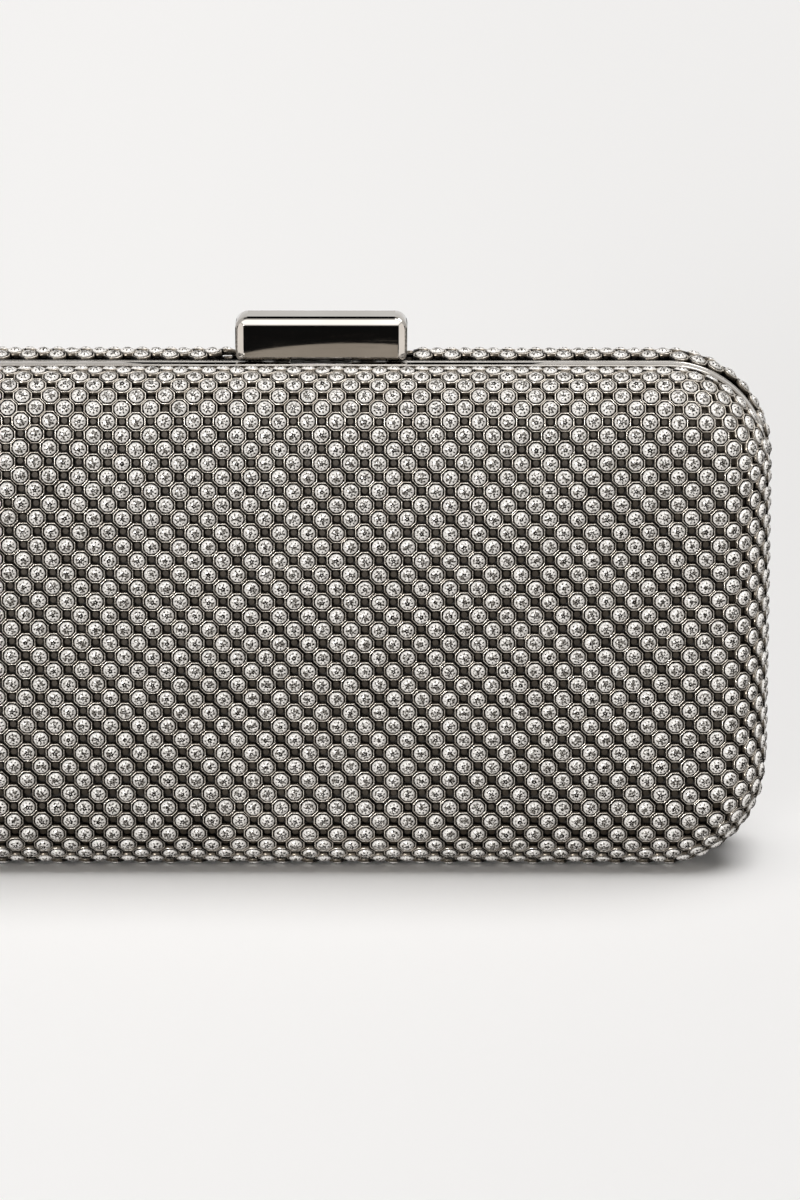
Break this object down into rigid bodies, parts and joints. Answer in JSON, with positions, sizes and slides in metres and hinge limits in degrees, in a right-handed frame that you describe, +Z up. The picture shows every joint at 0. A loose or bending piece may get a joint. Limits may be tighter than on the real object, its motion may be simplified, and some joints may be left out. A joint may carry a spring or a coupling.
{
  "type": "clutch bag",
  "caption": "Hard box clutch bag covered in crystal mesh, with thin metal rims, bottom hinges and a polished bar clasp on top.",
  "frame": {"origin": "middle of the bounding box's bottom, on the surface that the closed bag stands on", "axes": "+X along the bag's length, -Y to the front half, +Z up through the clasp bar"},
  "size_m": [0.18, 0.0354, 0.1113],
  "materials": {
    "crystal_mesh": "clear faceted stones in warm grey metal cups",
    "shell_board": "matt dark moulding",
    "polished_gunmetal": "mirror-polished gunmetal plate",
    "lining_satin": "dark grey satin",
    "spring_steel": "plain bright steel"
  },
  "bodies": {
    "back": {"back_crystal_mesh": "crystal_mesh", "back_shell": "shell_board", "back_lining": "lining_satin", "back_rim": "polished_gunmetal", "hinge_left_back_leaf": "polished_gunmetal", "hinge_right_back_leaf": "polished_gunmetal", "hinge_left_pin": "spring_steel", "hinge_right_pin": "spring_steel", "hinge_rivet_back_left_1": "spring_steel", "hinge_rivet_back_left_2": "spring_steel", "hinge_rivet_back_right_1": "spring_steel", "hinge_rivet_back_right_2": "spring_steel", "clasp_bracket": "spring_steel", "clasp_pin": "spring_steel", "bracket_rivet_1": "spring_steel", "bracket_rivet_2": "spring_steel"},
    "front": {"front_crystal_mesh": "crystal_mesh", "front_shell": "shell_board", "front_lining": "lining_satin", "front_rim": "polished_gunmetal", "hinge_left_front_leaf": "polished_gunmetal", "hinge_right_front_leaf": "polished_gunmetal", "hinge_rivet_front_left_1": "spring_steel", "hinge_rivet_front_left_2": "spring_steel", "hinge_rivet_front_right_1": "spring_steel", "hinge_rivet_front_right_2": "spring_steel", "clasp_striker": "spring_steel", "striker_rivet_1": "spring_steel", "striker_rivet_2": "spring_steel"},
    "clasp": {"clasp_bar": "polished_gunmetal", "clasp_lever": "spring_steel", "clasp_spring": "spring_steel"}
  },
  "joints": [
    {"name": "front_half_open", "type": "hinge", "parent": "back", "child": "front", "pos_m": [0, 0, 0.0012], "axis": [1, 0, 0], "range_deg": [0, 90]},
    {"name": "clasp_tilt", "type": "hinge", "parent": "back", "child": "clasp", "pos_m": [0, 0.0033, 0.1044], "axis": [-1, 0, 0], "range_deg": [0, 18], "stiffness_Nm_per_rad": 0.05, "springref_deg": -17.19}
  ]
}
